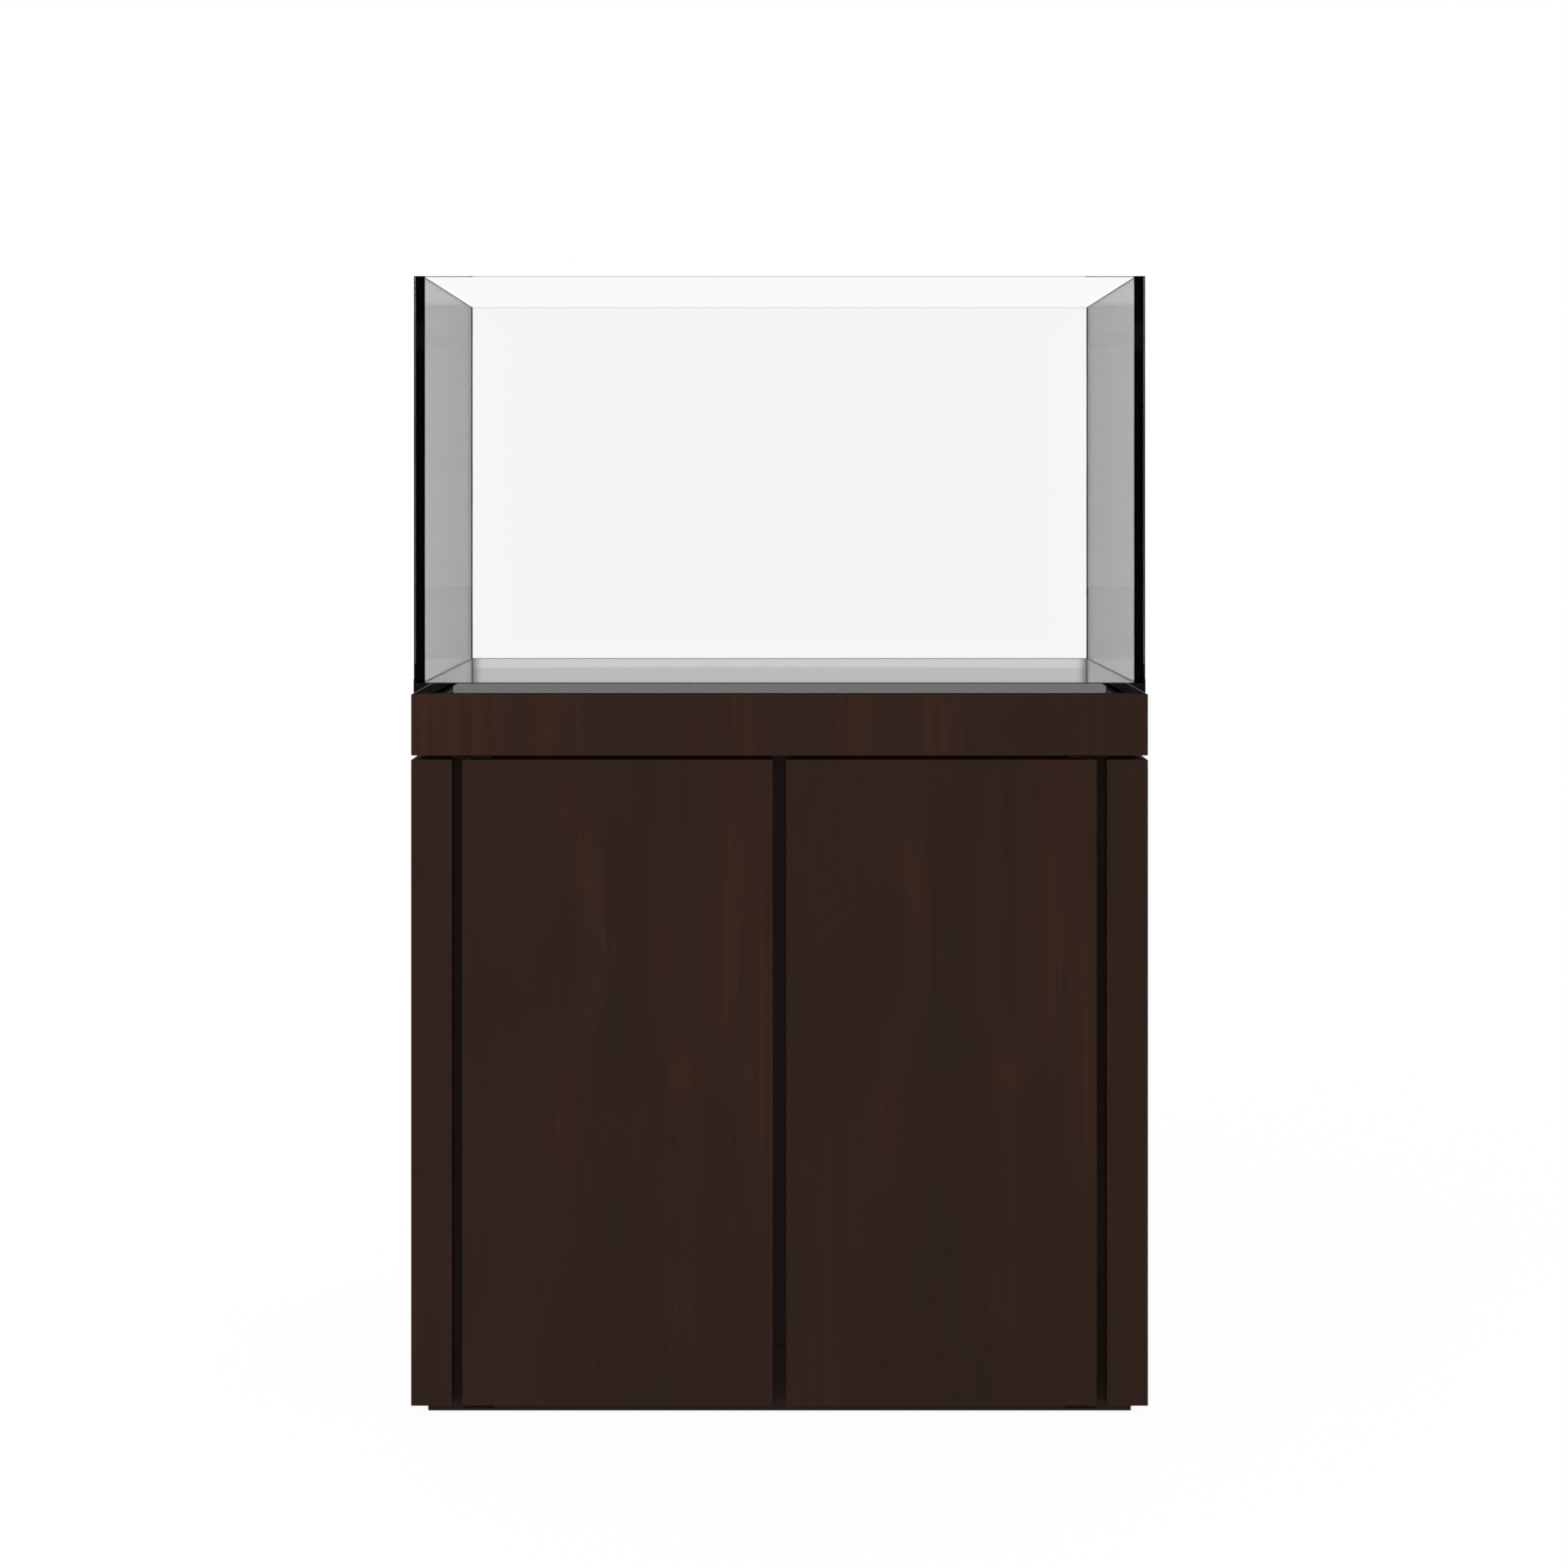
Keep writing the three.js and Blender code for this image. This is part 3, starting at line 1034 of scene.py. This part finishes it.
def screw_tree():
    """Sets a screw head on every point, square to its facing and turned by chance."""
    nodes = NodeTree("set_screws")
    names = {
        "points": nodes.input("Points", "NodeSocketGeometry"),
        "head": nodes.input("Head", "NodeSocketObject"),
        "radius": nodes.input("Head Radius", "NodeSocketFloat", 0.003),
        "seed": nodes.input("Turn Seed", "NodeSocketInt", 1),
        "finish": nodes.input("Finish", "NodeSocketMaterial"),
    }
    start = nodes.start.outputs
    facing = nodes.add("GeometryNodeInputNamedAttribute", {"data_type": "FLOAT_VECTOR"},
                       {"Name": "facing"})
    stand = nodes.add("FunctionNodeAlignRotationToVector", {"axis": "Z"}, {"Vector": facing})
    turn = nodes.add("FunctionNodeRandomValue", {"data_type": "FLOAT"},
                     {2: 0.0, 3: math.pi, "Seed": start["Turn Seed"]}, output=1)
    about = nodes.add("FunctionNodeAxisAngleToRotation", None, {"Axis": (0, 0, 1), "Angle": turn})
    placed = nodes.add("FunctionNodeRotateRotation", {"rotation_space": "LOCAL"},
                       {"Rotation": stand, "Rotate By": about})
    head = nodes.add("GeometryNodeObjectInfo", None, {"Object": start["Head"]}, output=4)
    heads = nodes.add("GeometryNodeInstanceOnPoints", None, {
        "Points": start["Points"],
        "Instance": head,
        "Rotation": placed,
        "Scale": start["Head Radius"],
    })
    solid = nodes.add("GeometryNodeRealizeInstances", None, {"Geometry": heads})
    finished = nodes.add("GeometryNodeSetMaterial", None,
                         {"Geometry": solid, "Material": start["Finish"]})
    nodes.tree.links.new(finished, nodes.end.inputs[0])
    return nodes.tree, names


def set_screws(name, places, material, body, slot, radius):
    """Screws at places, each a point and the way its head faces."""
    tree, names = screw_tree()
    points = bpy.data.meshes.new(name + "_points")
    points.from_pydata([place for place, _ in places], [], [])
    facing = points.attributes.new("facing", "FLOAT_VECTOR", "POINT")
    for item, (_, way) in zip(facing.data, places):
        item.vector = way
    holder = bpy.data.objects.new(name + "_points", points)
    bpy.context.scene.collection.objects.link(holder)
    head = screw_head()
    bpy.context.scene.collection.objects.link(head)
    modifier = holder.modifiers.new("screws", "NODES")
    modifier.node_group = tree
    modifier[names["head"]] = head
    modifier[names["radius"]] = radius
    modifier[names["seed"]] = bpy.context.scene.aquarium_hardware.turn_seed
    modifier[names["finish"]] = material
    evaluated = holder.evaluated_get(bpy.context.evaluated_depsgraph_get())
    mesh = bpy.data.meshes.new_from_object(evaluated)
    mesh.name = name
    mesh.set_sharp_from_angle(angle=math.radians(30))
    bpy.data.objects.remove(holder)
    bpy.data.objects.remove(head)
    bpy.data.node_groups.remove(tree)
    return new_piece(name, mesh, material, body, slot)


def bracket_screws():
    """Two screws through the leaf of each bracket."""
    places = []
    for side in SIDES:
        for level in ("lower", "upper"):
            low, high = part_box(f"{side}_{level}_bracket")
            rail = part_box("bottom_rail" if level == "lower" else "top_rail")[0].y
            leaf_face = rail - LEAF_GAP - LEAF_THICKNESS
            inner = high.x if side == "left" else low.x
            toward = -1 if side == "left" else 1
            for inset, lift in BRACKET_SCREWS:
                x = inner + toward * inset
                places.append(((x, leaf_face - HEAD_STAND, low.z + lift), (0, -1, 0)))
    return places


def back_screws():
    """A screw every so often round the back panel and along the back rail."""
    places = []
    for node in ("back_panel", "back_rail"):
        low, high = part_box(node)
        rows = max(2, round((high.z - low.z) / BACK_SCREW_SPACING))
        face = high.y + HEAD_STAND
        run = high.z - low.z - 2 * BACK_SCREW_END
        for side_x in (low.x + BACK_SCREW_INSET, high.x - BACK_SCREW_INSET):
            for row in range(rows):
                z = low.z + BACK_SCREW_END + run * row / (rows - 1)
                places.append(((side_x, face, z), (0, 1, 0)))
    return places


class AQUARIUM_OT_screws(bpy.types.Operator):
    """Drive the screws of the brackets and of the back"""

    bl_idname = "aquarium.screws"
    bl_label = "Screws"

    def execute(self, context):
        radius = context.scene.aquarium_hardware.head_radius
        set_screws("bracket_screws", bracket_screws(), turned_steel(), ROOT, "pin_steel", radius)
        set_screws("back_screws", back_screws(), turned_steel(), ROOT, "pin_steel", radius)
        return {"FINISHED"}


# ---------------------------------------------------------------- stage

LENS = 57.1
SENSOR_TALL = 36.0
SENSOR_WIDE = 26.0
RIGHT_SHIFT = 0.00285
DOWN_SHIFT = 0.1791

KEY_PLACE = (-3.2, -3.0, 3.2)
KEY_SIZE = 1.8
FLOOR_HALF = 30.0

# brightness of the even fill on matt surfaces, and of what a first reflection sees: the room in
# front, the room behind below and above the rim, and the backdrop behind the tank
FILL = 0.85
FRONT_GLOOM = 0.008
BACK_GLOOM = 0.04
UPPER_GLOOM = 0.23
BACKDROP_LOW = 0.805
BACKDROP_HIGH = 0.66
# what a second reflection sees, how much less of it low in a corner, and what the first
# reflection gains there
SECOND_REFLECTION = 0.72
CORNER_DIP = 0.57
CORNER_LIFT = 0.1

# where those parts of the room begin and end, as the rise or the sideways lean of a ray
BEHIND = (-0.05, 0.2)
RIM_RISE = (0.077, 0.081)
BACKDROP_RISE = (0.0652, 0.0662)
BACKDROP_LEAN = (0.118, 0.124)
BACKDROP_TOP = (0.3, 0.5)
CORNER_RAYS = (0.060, 0.062)
CORNER_SLOPE = (0.500, 0.509)

# glow of the floor: seen directly, in a first and in a second reflection, and its matt share
FLOOR_GLOW = 1.01
FLOOR_ONCE = 0.0
FLOOR_TWICE = 0.733
FLOOR_MATTE = 0.06


def light_world():
    """A white backdrop. Reflections see a dim room with a lit strip of backdrop behind the tank,
    and matt surfaces see an even fill."""
    world = bpy.data.worlds.new("studio")
    bpy.context.scene.world = world
    world.use_nodes = True
    graph = Graph(world.node_tree)
    x, y, z = graph.split(graph.node("ShaderNodeTexCoord", None, None, output=0))
    behind = graph.ramp(y, *BEHIND)
    gloom = graph.ramp(z, *RIM_RISE, BACK_GLOOM, UPPER_GLOOM) * behind
    width = graph.ramp(abs(x), *BACKDROP_LEAN, 1.0, 0.0)
    height = graph.ramp(z, *BACKDROP_TOP, 1.0, 0.0)
    strip = width * height * behind
    backdrop = graph.ramp(z, *BACKDROP_RISE, BACKDROP_LOW, BACKDROP_HIGH)
    room = strip * backdrop + (1 - strip) * gloom + FRONT_GLOOM
    path = graph.node("ShaderNodeLightPath").socket.node.outputs
    bounces = Wire(graph, path["Glossy Depth"])
    once = graph.ramp(bounces, 0.0, 1.0)
    twice = graph.ramp(bounces, 1.0, 2.0)
    corner = graph.ramp(z, *CORNER_RAYS) * graph.ramp(z / abs(x), *CORNER_SLOPE, 1.0, 0.0)
    first = room + corner * CORNER_LIFT
    second = SECOND_REFLECTION - corner * CORNER_DIP
    reflected = first * (1 - twice) + second * twice
    seen = Wire(graph, path["Is Camera Ray"]).most(Wire(graph, path["Is Transmission Ray"]))
    direct = seen + (1 - seen) * FILL
    strength = once * reflected + (1 - once) * direct
    white = graph.node("ShaderNodeBackground", None, {"Color": (1, 1, 1, 1), "Strength": strength})
    graph.node("ShaderNodeOutputWorld", None, {"Surface": white})


def lit_floor():
    """A pale floor lit from within, so that it stays white, with a faint shadow under the stand."""
    stage = bpy.context.scene.aquarium_stage
    material = bpy.data.materials.new("lit_floor")
    material.use_nodes = True
    graph = Graph(material.node_tree)
    path = graph.node("ShaderNodeLightPath").socket.node.outputs
    bounces = Wire(graph, path["Glossy Depth"])
    once = graph.ramp(bounces, 0.0, 1.0, FLOOR_GLOW, FLOOR_ONCE)
    twice = graph.ramp(bounces, 1.0, 2.0, 0.0, FLOOR_TWICE)
    lit = {"Color": opaque(stage.floor), "Strength": once.most(twice)}
    glow = graph.node("ShaderNodeEmission", None, lit)
    matte = graph.node("ShaderNodeBsdfDiffuse", None, {"Color": opaque(stage.floor)})
    surface = graph.node("ShaderNodeMixShader", None, {0: FLOOR_MATTE, 1: glow, 2: matte})
    graph.node("ShaderNodeOutputMaterial", None, {"Surface": surface})
    mesh = bpy.data.meshes.new("floor")
    turns = ((-1, -1), (1, -1), (1, 1), (-1, 1))
    corners = [(x * FLOOR_HALF, y * FLOOR_HALF, 0) for x, y in turns]
    mesh.from_pydata(corners, [], [(0, 1, 2, 3)])
    mesh.materials.append(material)
    floor = bpy.data.objects.new("floor", mesh)
    bpy.context.scene.collection.objects.link(floor)
    floor.visible_glossy = False


def soft_light(name, place, aim, size, power):
    """A square soft box, lit towards a point and hidden from the camera."""
    data = bpy.data.lights.new(name, "AREA")
    data.shape = "SQUARE"
    data.size = size
    data.energy = power
    lamp = bpy.data.objects.new(name, data)
    lamp.location = place
    lamp.rotation_euler = (Vector(aim) - Vector(place)).to_track_quat("-Z", "Y").to_euler()
    lamp.visible_camera = False
    lamp.visible_transmission = False
    bpy.context.scene.collection.objects.link(lamp)


def place_camera():
    """A level camera in front of the doors, shifted down to take in the whole stand."""
    stage = bpy.context.scene.aquarium_stage
    data = bpy.data.cameras.new("camera")
    data.sensor_fit = "VERTICAL"
    data.sensor_height = SENSOR_TALL
    data.sensor_width = SENSOR_WIDE
    data.lens = LENS
    data.shift_x = RIGHT_SHIFT
    data.shift_y = -DOWN_SHIFT
    camera = bpy.data.objects.new("camera", data)
    front = CAD_BOX[0].y
    camera.location = (0.0, front - stage.distance, stage.eye_height)
    camera.rotation_euler = (math.pi / 2, 0.0, 0.0)
    bpy.context.scene.collection.objects.link(camera)
    bpy.context.scene.camera = camera


class AQUARIUM_OT_stage(bpy.types.Operator):
    """Set the floor, the studio light and the camera"""

    bl_idname = "aquarium.stage"
    bl_label = "Stage"

    def execute(self, context):
        light_world()
        lit_floor()
        middle = (CAD_BOX[0] + CAD_BOX[1]) / 2
        power = context.scene.aquarium_stage.key_power
        soft_light("key", KEY_PLACE, middle, KEY_SIZE, power)
        place_camera()
        context.scene.view_settings.view_transform = "Standard"
        return {"FINISHED"}


# ---------------------------------------------------------------- panel and registration

OPERATORS = (
    AQUARIUM_OT_stage,
    AQUARIUM_OT_panes,
    AQUARIUM_OT_silicone,
    AQUARIUM_OT_band,
    AQUARIUM_OT_cladding,
    AQUARIUM_OT_doors,
    AQUARIUM_OT_carcass,
    AQUARIUM_OT_hinges,
    AQUARIUM_OT_catches,
    AQUARIUM_OT_screws,
)
SETTINGS = {
    "aquarium_wood": AQUARIUM_PG_wood,
    "aquarium_tank": AQUARIUM_PG_tank,
    "aquarium_hardware": AQUARIUM_PG_hardware,
    "aquarium_stage": AQUARIUM_PG_stage,
}


class AQUARIUM_PT_panel(bpy.types.Panel):
    """Lists the settings and the steps that finish the aquarium"""

    bl_label = "Aquarium"
    bl_space_type = "VIEW_3D"
    bl_region_type = "UI"
    bl_category = "Aquarium"

    def draw(self, context):
        for name, kind in SETTINGS.items():
            box = self.layout.box()
            for prop in kind.__annotations__:
                box.prop(getattr(context.scene, name), prop)
        for operator in OPERATORS:
            self.layout.operator(operator.bl_idname)


CLASSES = (*SETTINGS.values(), *OPERATORS, AQUARIUM_PT_panel)


def register():
    for kind in CLASSES:
        bpy.utils.register_class(kind)
    for name, kind in SETTINGS.items():
        setattr(bpy.types.Scene, name, bpy.props.PointerProperty(type=kind))


def unregister():
    for name in SETTINGS:
        delattr(bpy.types.Scene, name)
    for kind in reversed(CLASSES):
        bpy.utils.unregister_class(kind)


def main():
    register()
    bpy.ops.aquarium.stage()
    bpy.ops.aquarium.panes()
    bpy.ops.aquarium.silicone()
    bpy.ops.aquarium.band()
    bpy.ops.aquarium.cladding()
    bpy.ops.aquarium.doors()
    bpy.ops.aquarium.carcass()
    bpy.ops.aquarium.hinges()
    bpy.ops.aquarium.catches()
    bpy.ops.aquarium.screws()


if __name__ == "__main__":
    main()
